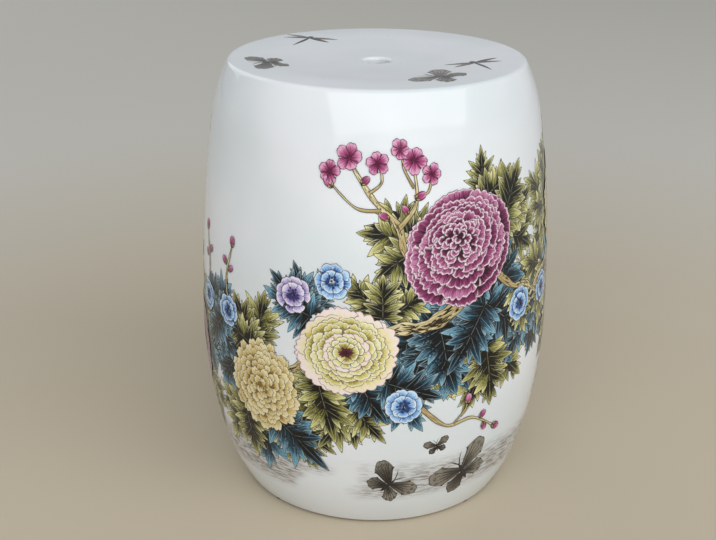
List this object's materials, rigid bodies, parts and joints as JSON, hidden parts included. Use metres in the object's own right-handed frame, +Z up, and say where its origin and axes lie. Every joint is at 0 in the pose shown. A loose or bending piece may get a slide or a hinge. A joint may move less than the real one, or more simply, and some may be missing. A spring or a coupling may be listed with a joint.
{
  "type": "ceramic garden stool",
  "caption": "Barrel-shaped glazed porcelain garden stool, hollow and open below, with a round lift hole in its slightly dished seat and flowers painted round its side.",
  "frame": {"origin": "on the floor under the middle of the stool", "axes": "+Z up along the stool's axis, from the floor to the seat; X and Y level, -Y towards the side seen from the front"},
  "size_m": [0.3679, 0.368, 0.46],
  "materials": {
    "porcelain_glaze": "clear gloss glaze over white porcelain, with overglaze enamel flowers",
    "porcelain_biscuit": "bare fired porcelain, matt",
    "pad_rubber": "matt dark rubber"
  },
  "bodies": {
    "root": {"seat_top": "porcelain_glaze", "upper_barrel": "porcelain_glaze", "lower_barrel": "porcelain_glaze", "foot_ring": "porcelain_glaze", "shoulder_coil": "porcelain_biscuit", "belly_coil": "porcelain_biscuit", "foot_pads": "pad_rubber"}
  },
  "joints": []
}
